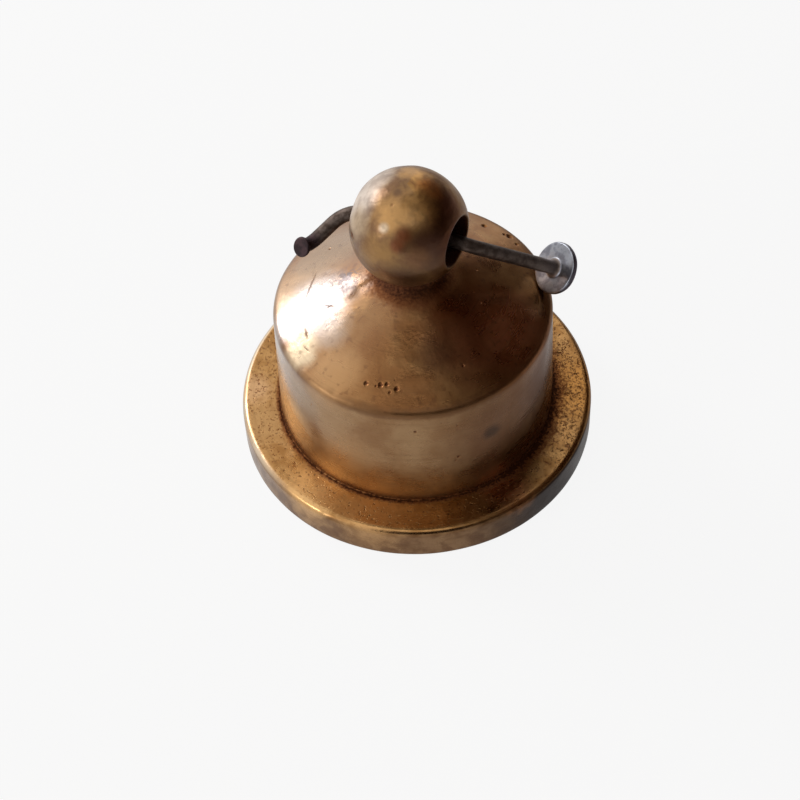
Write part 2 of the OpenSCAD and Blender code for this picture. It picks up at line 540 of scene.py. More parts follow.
# %% Join the ball to the neck
def as_object(name, points, faces):
    """A mesh object with its faces turned outwards."""
    mesh = bpy.data.meshes.new(name)
    mesh.from_pydata(points, [], faces)
    work = bmesh.new()
    work.from_mesh(mesh)
    bmesh.ops.recalc_face_normals(work, faces=work.faces)
    work.to_mesh(mesh)
    work.free()
    return put_in_scene(name, mesh)


brass = as_object("brass_finial", points, faces)
ball = as_object("loose ball", ball_points, ball_faces)
union = brass.modifiers.new("union", "BOOLEAN")
union.operation = "UNION"
union.object = ball
union.solver = "EXACT"
bpy.context.view_layer.update()
worked_out = brass.evaluated_get(bpy.context.evaluated_depsgraph_get())
joined = bpy.data.meshes.new_from_object(worked_out)
brass.modifiers.clear()
brass.data = joined
bpy.data.objects.remove(ball)
print("joined brass:", len(brass.data.vertices), "points")

# %% [markdown]
# ## Knocks, scratches and casting holes
#
# The brass was cast in sand and turned by hand, and it has had a long life since. So its skin is
# not quite true: it rolls a little, it has shallow dents, and gas in the casting has left small
# crooked pores, many of them in two patches on the flange. Marks that can be seen from the side
# have to be in the mesh, because a trick of shading lies flat. They need small faces, but only
# where a mark is, so the faces near each mark are split first and the points are pushed in after.
#
# One kind of mark is enough for all: a small round bowl. A row of bowls that overlap is a scratch,
# and a few of them in a drunken walk are a pore.

# %% Places on the brass
def on_cone(azimuth, radius):
    """A point on the cone, in millimetres from the axis."""
    height = cone_top - (radius * mm - neck_r) * math.tan(cone_slope)
    return towards(azimuth, 0) * radius * mm + Vector((0, 0, height))


def on_drum(azimuth, height):
    """A point on the drum's wall."""
    share = (height * mm - flange_h) / (shoulder_h - flange_h)
    radius = drum_foot_r + (drum_r - drum_foot_r) * share
    return towards(azimuth, 0) * radius + Vector((0, 0, height * mm))


def on_flange(azimuth, radius):
    """A point on the flange's upper face."""
    return towards(azimuth, 0) * radius * mm + Vector((0, 0, flange_h))


def on_ball(azimuth, height):
    """A point on the ball, both angles in degrees and seen from its middle."""
    return towards(azimuth, height) * ball_r + Vector((0, 0, ball_h))


cone_heights = [round(on_cone(0, r / mm).z / mm, 1) for r in (drum_r, neck_r)]
print("the cone goes up from", cone_heights[0], "to", cone_heights[1], "mm")

# %% [markdown]
# ## Marks that can be told apart
#
# A row of pits runs along the front of the shoulder, others are at the back, and dents have rolled
# the edges in. Anybody who knows this finial would look for these, so each is set in its own place.
# The first table holds the small deep bowls, and the second one the wide shallow dents.

# %% Bowls that can be told apart, each with its radius and depth in millimetres
holes = [
    (on_cone(-87, 22.3), 0.55, 0.25),
    (on_cone(-82, 22.3), 0.35, 0.12),
    (on_cone(-80, 22.0), 0.65, 0.30),
    (on_cone(-77, 21.7), 0.50, 0.25),
    (on_cone(-72, 22.3), 0.60, 0.28),
    (on_cone(-75, 23.0), 0.40, 0.14),
    (on_cone(78, 23.2), 0.75, 0.40),
    (on_cone(66, 24.9), 0.80, 0.35),
    (on_cone(68, 24.4), 0.45, 0.20),
    (on_cone(60, 24.6), 0.45, 0.20),
    (on_cone(169, 19.7), 0.40, 0.20),
    (on_drum(-64, 28.7), 0.45, 0.15),
    (on_drum(-47, 19.3), 0.40, 0.15),
    (on_ball(-99, 64), 0.50, 0.05),
    (on_ball(-136, 9), 0.80, 0.20),
]
dents = [
    (on_cone(-99, 25.7), 1.3, 0.16),
    (on_cone(-118, 25.8), 1.0, 0.10),
    (on_cone(-150, 12.5), 3.2, 0.08),
    (on_cone(-128, 17.0), 3.6, 0.07),
    (on_cone(-165, 22.5), 3.0, 0.06),
    (on_cone(-60, 15.0), 4.0, 0.06),
    (on_drum(-36, 21.6), 2.2, 0.05),
    (on_drum(-28, 25.0), 1.8, 0.04),
    (on_drum(-110, 18.0), 4.0, 0.07),
    (on_drum(60, 20.0), 3.5, 0.09),
    (on_drum(150, 24.0), 3.0, 0.10),
    (on_ball(-104, 66), 2.2, 0.10),
    (on_ball(-150, 45), 2.4, 0.08),
    (on_ball(-70, 30), 3.0, 0.06),
    (on_ball(120, 40), 2.6, 0.10),
    (on_flange(-95, 34.6), 1.2, 0.16),
    (on_flange(-128, 34.7), 1.0, 0.14),
    (on_flange(28, 34.7), 0.9, 0.22),
]
print("marks told apart:", len(holes), "bowls,", len(dents), "dents")

# %% [markdown]
# ## Scratches
#
# A scratch starts thin, digs in and runs out thin again. So the bowls in its row swell up to the
# middle and shrink after it, and each is laid on the cone's surface, which a straight line between
# the two ends would cut through.

# %% Scratches on the cone
def scratch(start, end, width=0.16, depth=0.09, spacing=0.1):
    """Bowls in a row over the cone, thin at both ends. Start and end are (azimuth, radius)."""
    first = on_cone(*start)
    last = on_cone(*end)
    count = max(3, round((last - first).length / (spacing * mm)))
    row = []
    for k in range(count + 1):
        share = k / count
        place = first.lerp(last, share)
        azimuth = math.degrees(math.atan2(place.y, place.x))
        radius = math.hypot(place.x, place.y) / mm
        fullness = 0.5 + 0.5 * math.sin(math.pi * share)
        row.append((on_cone(azimuth, radius), width * fullness, depth * fullness))
    return row


holes += scratch((-153, 20.2), (-173, 19.0))
holes += scratch((-141, 16.8), (-136, 15.2))
holes += scratch((-138, 16.6), (-139, 15.4))
holes += scratch((-134, 21.5), (-127, 22.0))
holes += scratch((-126, 23.2), (-121, 23.0))
print("bowls with the scratches:", len(holes))

# %% [markdown]
# ## Pores
#
# Gas in the casting left more pores than anybody would set by hand, and nobody would miss a single
# one. So these are drawn by lot, thick in the two patches where the flange is porous and few
# elsewhere. The lot is drawn from a fixed start, so every run gives the same brass.

# %% Pores by lot
chance = np.random.default_rng(7)
porous_band = (28.2, 33.4)


def pore(place, size, steps):
    """A crooked slot: a few overlapping bowls, each a short step on from the last."""
    heading = chance.uniform(0, 360)
    depth = size * chance.uniform(0.3, 0.6)
    made = []
    for _ in range(steps):
        made.append((place.copy(), size, depth))
        heading += chance.normal() * 45
        place = place + towards(heading, 0) * size * 0.9 * mm
    return made


def porous_flange(count, middle, spread, sizes):
    """Pores in the flange, thick round one direction and thin away from it."""
    made = []
    for _ in range(count):
        azimuth = middle + chance.normal() * spread
        place = on_flange(azimuth, chance.uniform(*porous_band))
        made += pore(place, chance.uniform(*sizes), int(chance.integers(1, 6)))
    return made


def scattered(count, on_part, band, sizes):
    """Round bowls anywhere in a band of a turned part."""
    made = []
    for _ in range(count):
        size = chance.uniform(*sizes)
        place = on_part(chance.uniform(0, 360), chance.uniform(*band))
        made.append((place, size, size * 0.35))
    return made


holes += porous_flange(55, middle=24, spread=17, sizes=(0.12, 0.21))
holes += porous_flange(34, middle=205, spread=19, sizes=(0.12, 0.2))
holes += porous_flange(14, middle=120, spread=40, sizes=(0.13, 0.22))
holes += scattered(8, on_cone, band=(10, 26), sizes=(0.2, 0.34))
holes += scattered(12, on_drum, band=(10, 31), sizes=(0.2, 0.36))
print("bowls in all:", len(holes))

# %% [markdown]
# ## Small faces where they are needed
#
# A bowl of half a millimetre can't be pushed into faces of one millimetre. Faces near a mark are
# split in two rounds, a wide one and then a narrow one, so their size falls step by step and the
# rest of the brass stays light. A search tree finds the nearest mark quickly.

# %% Split the faces near a mark
split_rounds = ((0.45 * mm, 1), (0.08 * mm, 2))


def tree_of(marks):
    """A search tree over the places of some marks."""
    tree = KDTree(len(marks))
    for index, mark in enumerate(marks):
        tree.insert(mark[0], index)
    tree.balance()
    return tree


hole_tree = tree_of(holes)
work = bmesh.new()
work.from_mesh(brass.data)
for reach, cuts in split_rounds:
    near = set()
    for face in work.faces:
        _, index, distance = hole_tree.find(face.calc_center_median())
        if distance < holes[index][1] * mm + reach:
            near.update(face.edges)
    bmesh.ops.subdivide_edges(work, edges=list(near), cuts=cuts, use_grid_fill=True)
bmesh.ops.triangulate(work, faces=[f for f in work.faces if len(f.verts) > 4])
work.to_mesh(brass.data)
work.free()
print("brass with small faces at the marks:", len(brass.data.vertices), "points")

# %% [markdown]
# ## Pushing the points in
#
# Each point moves along its own normal: a little in or out with the slow roll of the skin, and
# inwards where a mark is. Where bowls overlap, the deepest one counts, so a pore has one floor.
# How deep a point lies in a mark is kept on the mesh, because the dirt of the material needs it.

# %% Push the points in
def bowl(distance, size):
    """Depth of a rounded bowl: 1 in the middle and 0 from size outwards."""
    share = min(1.0, distance / size)
    return (1 - share * share) ** 2


dirt_depth = 0.15
slow_roll = (9 * mm, 0.05)
quick_roll = (3 * mm, 0.012)
widest_hole = 0.85 * mm
above_thread = 20 * mm
on_table = 0.2 * mm


def roll_at(place):
    """How far the skin rolls in or out at a place, in millimetres."""
    slow, quick = [noise.noise(place / size) * swing for size, swing in (slow_roll, quick_roll)]
    return slow + quick


depth_of_hole = np.zeros(len(brass.data.vertices), np.float32)
normals = [Vector(n.vector) for n in brass.data.vertex_normals]
for vertex, normal in zip(brass.data.vertices, normals):
    place = vertex.co.copy()
    off_axis = math.hypot(place.x, place.y)
    in_thread = off_axis < core_r + chamfer + 0.1 * mm and place.z < above_thread
    if in_thread or place.z < on_table:
        continue
    deepest = 0.0
    for _, index, distance in hole_tree.find_range(place, widest_hole):
        _, size, depth = holes[index]
        sunk = bowl(distance, size * mm)
        deepest = max(deepest, depth * sunk)
        dirty = sunk * min(1.0, depth / dirt_depth)
        depth_of_hole[vertex.index] = max(depth_of_hole[vertex.index], dirty)
    push = (roll_at(place) - deepest) * mm
    for middle, size, depth in dents:
        if (place - middle).length < size * mm:
            push -= depth * mm * bowl((place - middle).length, size * mm)
    vertex.co = place + normal * push
kept_depth = brass.data.attributes.new("casting_hole", "FLOAT", "POINT")
kept_depth.data.foreach_set("value", depth_of_hole)
print("deepest point now", round(float(depth_of_hole.max()), 2), "of a hole's depth")

# %% [markdown]
# ## The look of old brass
#
# Clean brass is a yellow mirror. This one is handled, waxed and never polished: brown patina lies
# over it in clouds, rusty dirt has packed into every corner, the flange is still golden, and the
# drum has a thin grey film. Part of the dark at the neck, in the hole and on the side away from the
# windows is painted shade. A metal shader gives the yellow mirror, and its colour carries all the
# rest. A coat over it stands for the film of wax and grease, which is what makes the brightest
# spots white and not yellow. Dirt and the painted shade have no such film, so the coat ends where
# they begin.
#
# The clouds and the dirt are laid out in millimetres on the object itself, from the distance to
# the axis and the height. So they stay with the brass from every side. All the layers need the
# same few measures, so these are made once and handed round in a dictionary called here.

# %% Helpers that measure on the brass, in millimetres
def clouds(tree, place, size, detail=4.0, rough=0.55, twist=0.0):
    """A noise whose clouds are about size millimetres across."""
    values = {"Scale": 1 / size, "Detail": detail, "Roughness": rough, "Distortion": twist}
    return node(tree, "TexNoise", place, sockets=values)


def ring_distance(tree, here, ring_radius, ring_height):
    """Distance from a circle round the axis, given in metres."""
    out = math_node(tree, "SUBTRACT", here["radius"], ring_radius / mm)
    up = math_node(tree, "SUBTRACT", here["height"], ring_height / mm)
    return vector_node(tree, "LENGTH", node(tree, "CombineXYZ", out, up)).outputs["Value"]


def point_distance(tree, place, point):
    """Distance from a point, given in metres."""
    return vector_node(tree, "DISTANCE", place, tuple(point / mm)).outputs["Value"]


def scaled(tree, value, factor):
    """A value times a factor."""
    return math_node(tree, "MULTIPLY", value, factor)


def centred(tree, value, swing):
    """A noise moved to go from about -swing/2 to swing/2."""
    return scaled(tree, math_node(tree, "SUBTRACT", value, 0.5), swing)


def place_in_mm(tree):
    """The place of a point of the object, in millimetres."""
    place = vector_node(tree, "SCALE", node(tree, "TexCoord").outputs["Object"])
    place.inputs["Scale"].default_value = 1 / mm
    return place


print("the ball's middle is", round(ball_h / mm, 1), "mm up")

# %% [markdown]
# ## Turning marks
#
# The last cut of the lathe leaves lines that run round the axis. A noise gives them if it is drawn
# out in that direction: it reads the direction from the axis, which hardly changes along a line,
# and a distance or height that is magnified. Four numbers go in, so the noise has to be a
# four-dimensional one, and because it uses the direction and not the angle, it has no seam.

# %% Lines round the axis
line_width = 0.45
ball_begins = (45.0, 47.0)


def turned_lines(tree, flat, radius, height):
    """Noise drawn out round the axis. It ends where the ball begins."""
    around = node(tree, "SeparateXYZ", vector_node(tree, "NORMALIZE", flat))
    across = math_node(tree, "DIVIDE", radius, line_width)
    where = node(tree, "CombineXYZ", around.outputs["X"], around.outputs["Y"], across)
    up = math_node(tree, "DIVIDE", height, line_width)
    values = {"W": up, "Scale": 1.0, "Detail": 3.0, "Roughness": 0.6}
    lines = node(tree, "TexNoise", where, noise_dimensions="4D", sockets=values)
    return scaled(tree, lines, fade(tree, height, *ball_begins, 1.0, 0.0))


print("turning marks", line_width, "mm apart")

# %% [markdown]
# ## The measures that every layer shares
#
# The side away from the windows is painted darker, which is painted shade. The same direction
# serves for every part: the place along it, divided by the distance from the axis, is 1 on the
# shaded side and -1 on the lit side.

# %% Place, distance, height, noises and the shaded side
shaded_direction = to_the_right


def brass_measures(tree):
    """Everything that more than one layer of the brass asks for."""
    place = place_in_mm(tree)
    split = node(tree, "SeparateXYZ", place)
    height = split.outputs["Z"]
    flat = node(tree, "CombineXYZ", split.outputs["X"], split.outputs["Y"])
    radius = vector_node(tree, "LENGTH", flat).outputs["Value"]
    facing = vector_node(tree, "DOT_PRODUCT", place, tuple(shaded_direction)).outputs["Value"]
    middle = clouds(tree, place, 2.6, detail=3.0, rough=0.55, twist=0.4)
    return {
        "place": place,
        "radius": radius,
        "height": height,
        "big": clouds(tree, place, 9.0, detail=3.0),
        "middle": middle,
        "small": clouds(tree, place, 0.5, detail=3.0, rough=0.6),
        "wave": centred(tree, middle, 3.4),
        "lines": turned_lines(tree, flat, radius, height),
        "away": fade(tree, math_node(tree, "DIVIDE", facing, radius), 0.1, 0.7),
    }


print("the wall's side is", [round(x, 2) for x in shaded_direction[:2]])

# %% [markdown]
# ## A tone for each turned part
#
# The flange's top is rubbed and golden, its wall is duller, the drum has a grey film, the cone is
# brown and the ball is mottled. Each tone is a pair that a slow noise mixes, and each gives way to
# the next over a millimetre or so of height, as if a brush had been drawn round the lathe.

# %% Tones from the flange up
wall_to_top = (6.9, 7.6)
top_to_drum = (7.9, 8.6)
drum_to_cone = (33.2, 34.2)
cone_to_ball = (45.0, 46.5)


def part_tones(tree, here):
    """Golden flange, filmed drum, brown cone and mottled ball."""
    height = here["height"]
    cloudy = fade(tree, here["middle"], 0.35, 0.68)
    golden = blend_colour(tree, cloudy, colour(190, 144, 90), colour(164, 118, 68))
    walled = blend_colour(tree, cloudy, colour(146, 112, 78), colour(118, 84, 54))
    # Painted shade: the flange's wall goes dark on the side away from the windows.
    walled = blend_colour(tree, here["away"], walled, colour(38, 20, 12))
    filmy = fade(tree, here["big"], 0.35, 0.65)
    filmed = blend_colour(tree, filmy, colour(168, 132, 92), colour(146, 106, 66))
    browned = fade(tree, here["big"], 0.3, 0.62)
    brown = blend_colour(tree, browned, colour(172, 128, 80), colour(148, 100, 56))
    spotted = fade(tree, here["middle"], 0.4, 0.62)
    mottled = blend_colour(tree, spotted, colour(158, 118, 70), colour(134, 94, 56))
    film_edge = math_node(tree, "ADD", height, scaled(tree, here["wave"], 0.4))
    skin = blend_colour(tree, fade(tree, height, *wall_to_top), walled, golden)
    skin = blend_colour(tree, fade(tree, height, *top_to_drum), skin, filmed)
    skin = blend_colour(tree, fade(tree, film_edge, *drum_to_cone), skin, brown)
    return blend_colour(tree, fade(tree, height, *cone_to_ball), skin, mottled)


print("tones change at", [wall_to_top, top_to_drum, drum_to_cone, cone_to_ball], "mm")

# %% [markdown]
# ## The shoulder's line and a painted highlight on the rim
#
# The shoulder has a brown line, dark enough to dim the window's reflection on its rounded edge, so
# it is partly painted shade. The flange's rim is pale on the window's side, which is a painted
# highlight. Each is the distance from a ring round the axis, faded out again within a millimetre or
# two.

# %% The shoulder's line and the rim's painted highlight
shoulder_ring = (drum_r - 0.3 * mm, shoulder_h - 0.3 * mm)
rim_ring = (flange_r - 0.4 * mm, flange_h - 0.4 * mm)
rim_highlight_place = on_flange(-162, 35)


def shoulder_line_and_rim_highlight(tree, here, skin):
    """A brown line under the shoulder, partly painted shade, and a painted highlight on the rim."""
    shoulder = ring_distance(tree, here, *shoulder_ring)
    edge = math_node(tree, "ADD", shoulder, scaled(tree, here["wave"], 0.5))
    # Partly painted shade: the brown line also dims the window's reflection on the shoulder.
    skin = blend_colour(tree, fade(tree, edge, 0.5, 1.8, 0.75, 0.0), skin, colour(118, 80, 46))
    # Painted highlight: the rim is pale on the window's side.
    rim = fade(tree, ring_distance(tree, here, *rim_ring), 0.3, 0.9, 0.7, 0.0)
    near_rim_highlight = fade(tree, point_distance(tree, here["place"], rim_highlight_place), 16.0, 34.0, 1.0, 0.0)
    return blend_colour(tree, scaled(tree, rim, near_rim_highlight), skin, colour(234, 218, 194))


# Where the rim's painted highlight is brightest.
print("rim rubbed round", [round(x / mm) for x in rim_highlight_place])

# %% [markdown]
# ## Patches of patina and painted light
#
# Patina is never even: where a thumb rubs, brass stays gold, and where nobody reaches it goes dark.
# Each patch here is a ball of influence round one point of the surface, with its tone and its
# strength. Some patches are painted light: a painted glint and painted highlights on the ball and
# the cone, and painted shade under the ball and on the drum's right. Noise is added to the
# distance before it is faded, so the edge of a patch is ragged and not a circle. A table of such
# patches is easy to read and to move about.

# %% The patches that can be told apart: place, reach in millimetres, tone, strength
# Silver film, brightened into a painted highlight where the window shines on the ball.
silver_film_and_highlight = colour(240, 222, 206)
warm_film = colour(170, 138, 106)
rubbed_gold = colour(226, 172, 104)
dark_patina = colour(92, 56, 40)
red_patina = colour(150, 84, 44)
brass_patches = [
    (on_ball(-22, 26), 9.0, dark_patina, 0.95),
    (on_ball(10, 48), 4.0, colour(112, 64, 44), 0.8),
    (on_ball(19, 68), 3.2, colour(196, 124, 62), 0.9),
    (on_ball(-48, 62), 5.4, rubbed_gold, 0.95),
    (on_ball(-90, 56), 5.4, rubbed_gold, 0.9),
    (on_ball(105, 71), 3.4, rubbed_gold, 0.8),
    (on_ball(172, 52), 5.0, silver_film_and_highlight, 0.8),
    (on_ball(-155, 38), 5.6, silver_film_and_highlight, 1.0),
    # A painted glint: the small window's light on a facet of the ball.
    (on_ball(-96, 41), 1.3, colour(246, 224, 194), 0.7),
    (on_ball(-109, 77), 1.3, colour(120, 86, 56), 0.8),
    (on_ball(-134, 26), 4.4, colour(206, 178, 144), 0.9),
    (on_ball(-95, 16), 4.4, colour(184, 138, 78), 0.85),
    (on_ball(-70, 38), 2.2, red_patina, 0.9),
    (on_ball(-76, 28), 2.0, red_patina, 0.9),
    (on_ball(-48, 30), 3.0, colour(104, 66, 46), 0.7),
    (on_ball(-56, 14), 3.4, colour(150, 104, 66), 0.8),
    # Painted shade on the underside of the ball, above the neck.
    (on_ball(-72, -20), 6.0, colour(84, 52, 32), 0.9),
    (on_ball(-139, 6), 1.4, colour(104, 80, 58), 0.7),
    (on_cone(-158, 21), 11.0, warm_film, 0.9),
    (on_cone(165, 19), 10.0, warm_film, 0.9),
    (on_cone(-104, 23), 8.0, colour(200, 154, 104), 0.8),
    # Pale grey film under the window's reflection on the cone, partly a painted highlight.
    (on_cone(-126, 18), 6.0, colour(184, 162, 144), 0.85),
    (on_cone(-147, 18), 8.5, colour(200, 188, 184), 0.95),
    (on_cone(-142, 24), 5.0, colour(206, 194, 188), 0.9),
    (on_cone(-150, 12), 3.0, colour(168, 152, 144), 0.8),
    # A painted highlight: it carries the window's reflection down to the shoulder.
    (on_cone(-124, 24), 4.5, colour(230, 206, 170), 0.9),
    (on_cone(-178, 21), 6.0, colour(160, 130, 100), 0.8),
    (on_cone(-15, 17), 14.0, colour(156, 96, 62), 0.9),
    (on_cone(2, 21), 10.0, colour(236, 166, 120), 0.8),
    (on_cone(-30, 10), 4.5, red_patina, 0.6),
    (on_cone(-50, 17), 5.0, colour(94, 60, 36), 0.6),
    (on_cone(60, 14), 7.0, colour(128, 82, 48), 0.6),
    (on_drum(-126, 16), 9.0, colour(230, 200, 158), 0.9),
    (on_drum(-92, 18), 8.0, colour(176, 136, 92), 0.7),
    # Painted shade: dark patches on the drum's right, for the shadowed table that it mirrors.
    (on_drum(-25, 22), 17.0, colour(122, 80, 46), 0.85),
    (on_drum(4, 27), 12.0, colour(110, 68, 40), 0.85),
    (on_drum(-32, 23), 2.6, colour(62, 42, 26), 0.7),
    (on_drum(-150, 25), 11.0, colour(176, 150, 122), 0.75),
    (on_drum(-118, 26), 7.0, colour(158, 134, 106), 0.6),
    (on_flange(25, 31), 12.0, colour(180, 124, 60), 0.7),
    (on_flange(-30, 30), 6.0, colour(220, 150, 100), 0.85),
    (on_flange(-80, 31), 9.0, colour(212, 164, 108), 0.6),
    (on_flange(-103, 31), 8.0, colour(232, 184, 124), 0.85),
    (on_flange(-140, 31), 7.0, colour(190, 148, 98), 0.7),
    (on_flange(-156, 33), 5.0, colour(214, 170, 124), 0.8),
]
print("patches:", len(brass_patches))

# %% [markdown]
# ## Laying the patches on
#
# The patches go on one after the other, so a later one lies over an earlier one. Over them all
# come grey smudges near the neck, partly grime on the cone and partly a painted reflection of the
# ball in the bright cone.

# %% Lay the patches on
smudge_reflection_place = on_cone(-156, 12.4)


def smudge_and_ball_reflection(tree, here):
    """1 in grey smudges where the bright cone meets the neck, partly the ball's painted reflection.
    """
    smoky = fade(tree, clouds(tree, here["place"], 1.5, detail=3.0, twist=1.0), 0.4, 0.56)
    near = fade(tree, point_distance(tree, here["place"], smudge_reflection_place), 1.2, 5.0, 0.9, 0.0)
    return scaled(tree, smoky, near)


def patina_and_painted_light(tree, here, skin):
    """The table's patches over a skin, and the smudges over them."""
    for patch_place, reach, tone, strength in brass_patches:
        ragged = scaled(tree, here["wave"], min(1.0, 0.15 * reach))
        off = math_node(tree, "ADD", point_distance(tree, here["place"], patch_place), ragged)
        share = fade(tree, off, 0.25 * reach, 1.05 * reach, strength, 0.0)
        skin = blend_colour(tree, share, skin, tone)
    return blend_colour(tree, smudge_and_ball_reflection(tree, here), skin, colour(122, 112, 112))


print("smudges round", [round(x / mm, 1) for x in smudge_reflection_place])

# %% [markdown]
# ## Packed dirt and painted shade
#
# A cleaning cloth never gets into a corner, so dirt stays there in two layers: a wide, soft, rusty
# one and a narrow dark one. Both are measured as a distance from a ring, one at the foot of the
# drum and one at the neck, and noise makes them crumble. At the neck, under the ball, they are
# partly painted shade. On the lit side the distance is stretched, so the same dirt comes out
# narrower, and on the shaded side wider, which is painted shade. Casting holes fill up as corners
# do, and the inside of the hole through the ball is darkened with painted shade.

# %% Where the dirt and the painted shade are
foot_ring = (drum_foot_r + 0.3 * mm, flange_h)
neck_ring = (neck_r + 1.0 * mm, cone_top + 0.6 * mm)
foot_dirt = (2.2, 0.7)
neck_dirt_and_shade = (4.2, 2.2)
bore_shade = (4.7, 5.2)


def shade_in_bore(tree, here):
    """Painted shade: 1 inside the hole through the ball and 0 elsewhere."""
    split = node(tree, "SeparateXYZ", here["place"])
    up = math_node(tree, "SUBTRACT", here["height"], ball_h / mm)
    off_axis = vector_node(tree, "LENGTH", node(tree, "CombineXYZ", 0.0, split.outputs["Y"], up))
    inside = fade(tree, off_axis.outputs["Value"], *bore_shade, 1.0, 0.0)
    return scaled(tree, inside, fade(tree, here["height"], 48.0, 49.5))


def dirt_and_shade_at_ring(tree, here, distance, wide, narrow):
    """Rusty and dark layers round a ring, partly painted shade at the neck."""
    crumbly = math_node(tree, "ADD", distance, centred(tree, here["small"], 3.4))
    soft = math_node(tree, "ADD", crumbly, scaled(tree, here["wave"], 0.7))
    hard = math_node(tree, "ADD", crumbly, scaled(tree, here["wave"], 0.3))
    rusty = fade(tree, soft, 0.3 * wide, wide, 0.85, 0.0)
    return rusty, fade(tree, hard, 0.3, narrow, 0.9, 0.0)


print("dirt up to", foot_dirt[0], "mm at the foot and", neck_dirt_and_shade[0], "mm at the neck")

# %% [markdown]
# ## All the dirt and painted shade
#
# Where two kinds of dirt meet, the thicker one counts, so they are joined by taking the larger
# value and not by adding. The lit side gets the narrow dirt, and the shaded side the wide one,
# which is painted shade.

# %% All the dirt and painted shade together
def packed_dirt_and_shade(tree, here):
    """Two layers of dirt and painted shade: how much is wide and rusty, and how much is dark."""
    # Painted shade: the foot's dirt comes out wider on the side away from the windows.
    lit_side_stretch = math_node(tree, "SUBTRACT", 2.2, scaled(tree, here["away"], 1.5))
    foot = scaled(tree, ring_distance(tree, here, *foot_ring), lit_side_stretch)
    neck = ring_distance(tree, here, *neck_ring)
    foot_rusty, foot_dark = dirt_and_shade_at_ring(tree, here, foot, *foot_dirt)
    neck_rusty, neck_dark = dirt_and_shade_at_ring(tree, here, neck, *neck_dirt_and_shade)
    hole = node(tree, "Attribute", attribute_name="casting_hole").outputs["Fac"]
    rusty_layers = (neck_rusty, fade(tree, hole, 0.0, 0.5, 0.0, 0.6))
    dark_layers = (neck_dark, fade(tree, hole, 0.45, 1.0, 0.0, 0.6), shade_in_bore(tree, here))
    rusty = foot_rusty
    for layer in rusty_layers:
        rusty = math_node(tree, "MAXIMUM", rusty, layer)
    dark = foot_dark
    for layer in dark_layers:
        dark = math_node(tree, "MAXIMUM", dark, layer)
    return rusty, dark


print("dirt lies in", len(holes), "bowls, two corners and the hole of the ball")

# %% [markdown]
# ## Pores too small for the mesh
#
# Between the pores that are cut in the mesh lie hundreds that are too small for it. Where a noise
# crosses its middle value it draws long crooked lines, and a second noise cuts them into strokes.
# They belong to the flange's upper face alone, and crowd in the same two places as the big ones.

# %% Strokes on the flange
right_pores = on_flange(24, 31)
left_pores = on_flange(207, 31)
face_from = (7.2, 7.5)
face_to = (7.9, 8.2)
face_edge = (33.6, 34.2)


def fine_pores(tree, here):
    """Crooked strokes on the flange's upper face, thickest in its two porous patches."""
    place = here["place"]
    field = clouds(tree, place, 0.9, detail=1.5, rough=0.5, twist=1.4)
    off_middle = math_node(tree, "ABSOLUTE", math_node(tree, "SUBTRACT", field, 0.5))
    line = fade(tree, off_middle, 0.025, 0.065, 1.0, 0.0)
    near_right = fade(tree, point_distance(tree, place, right_pores), 10.0, 19.0, 0.13, 0.0)
    near_left = fade(tree, point_distance(tree, place, left_pores), 10.0, 20.0, 0.05, 0.0)
    patch = math_node(tree, "MAXIMUM", near_right, near_left)
    breaks = clouds(tree, place, 0.65, detail=1.0)
    stroke = fade(tree, math_node(tree, "ADD", breaks, patch), 0.58, 0.66)
    above = fade(tree, here["height"], *face_from)
    below = fade(tree, here["height"], *face_to, 1.0, 0.0)
    inside = fade(tree, here["radius"], *face_edge, 1.0, 0.0)
    pores = scaled(tree, scaled(tree, line, stroke), scaled(tree, above, below))
    return scaled(tree, pores, inside)


print("fine pores crowd at", [round(x / mm) for x in right_pores], "and on the left")

# %% [markdown]
# ## All the tones in one colour
#
# The layers go on one over the other: the tone of each part, its edge lines and its patches, some
# of them painted light, then faint streaks along the turning marks, specks on the flange and drum,
# spots on the cone and flecks on the ball, and last the dirt with its painted shade, and the pores,
# which cover everything.

# %% The colour of the brass
cone_begins = (32.5, 34.0)
cone_ends = (43.0, 45.0)
rust_brown = colour(122, 70, 38)
dirt_and_shade_brown = colour(72, 38, 22)


def brass_tone(tree, here, rusty, dark, pores):
    """The layers of colour, one over the other."""
    place, height = here["place"], here["height"]
    skin = part_tones(tree, here)
    skin = shoulder_line_and_rim_highlight(tree, here, skin)
    skin = patina_and_painted_light(tree, here, skin)

    streaks = fade(tree, here["lines"], 0.5, 0.72, 0.0, 0.16)
    from_cone_up = fade(tree, height, *cone_begins)
    below_cone = fade(tree, from_cone_up, 0.0, 1.0, 1.0, 0.0)
    below_neck = fade(tree, height, *cone_ends, 1.0, 0.0)
    on_ball_only = fade(tree, height, *ball_begins)
    specks = scaled(tree, fade(tree, here["small"], 0.58, 0.72, 0.0, 0.3), below_cone)
    flecks = fade(tree, clouds(tree, place, 2.4, detail=2.0), 0.42, 0.66, 0.0, 0.32)
    flecks = scaled(tree, flecks, on_ball_only)
    spots = fade(tree, clouds(tree, place, 1.3, detail=2.0), 0.58, 0.72, 0.0, 0.3)
    spots = scaled(tree, spots, scaled(tree, from_cone_up, below_neck))
    layers = (
        (streaks, colour(96, 62, 34)),
        (specks, colour(92, 58, 32)),
        (flecks, colour(112, 74, 46)),
        (spots, colour(84, 44, 28)),
        (rusty, rust_brown),
        # The dark layer is dirt, with painted shade in the hole, at the neck and on the shaded
        # side.
        (dark, dirt_and_shade_brown),
        (scaled(tree, pores, 0.75), colour(112, 66, 32)),
    )
    for share, tone in layers:
        skin = blend_colour(tree, share, skin, tone)
    return skin


print("the dirt's red part:", round(rust_brown[0], 3), "and", round(dirt_and_shade_brown[0], 3))

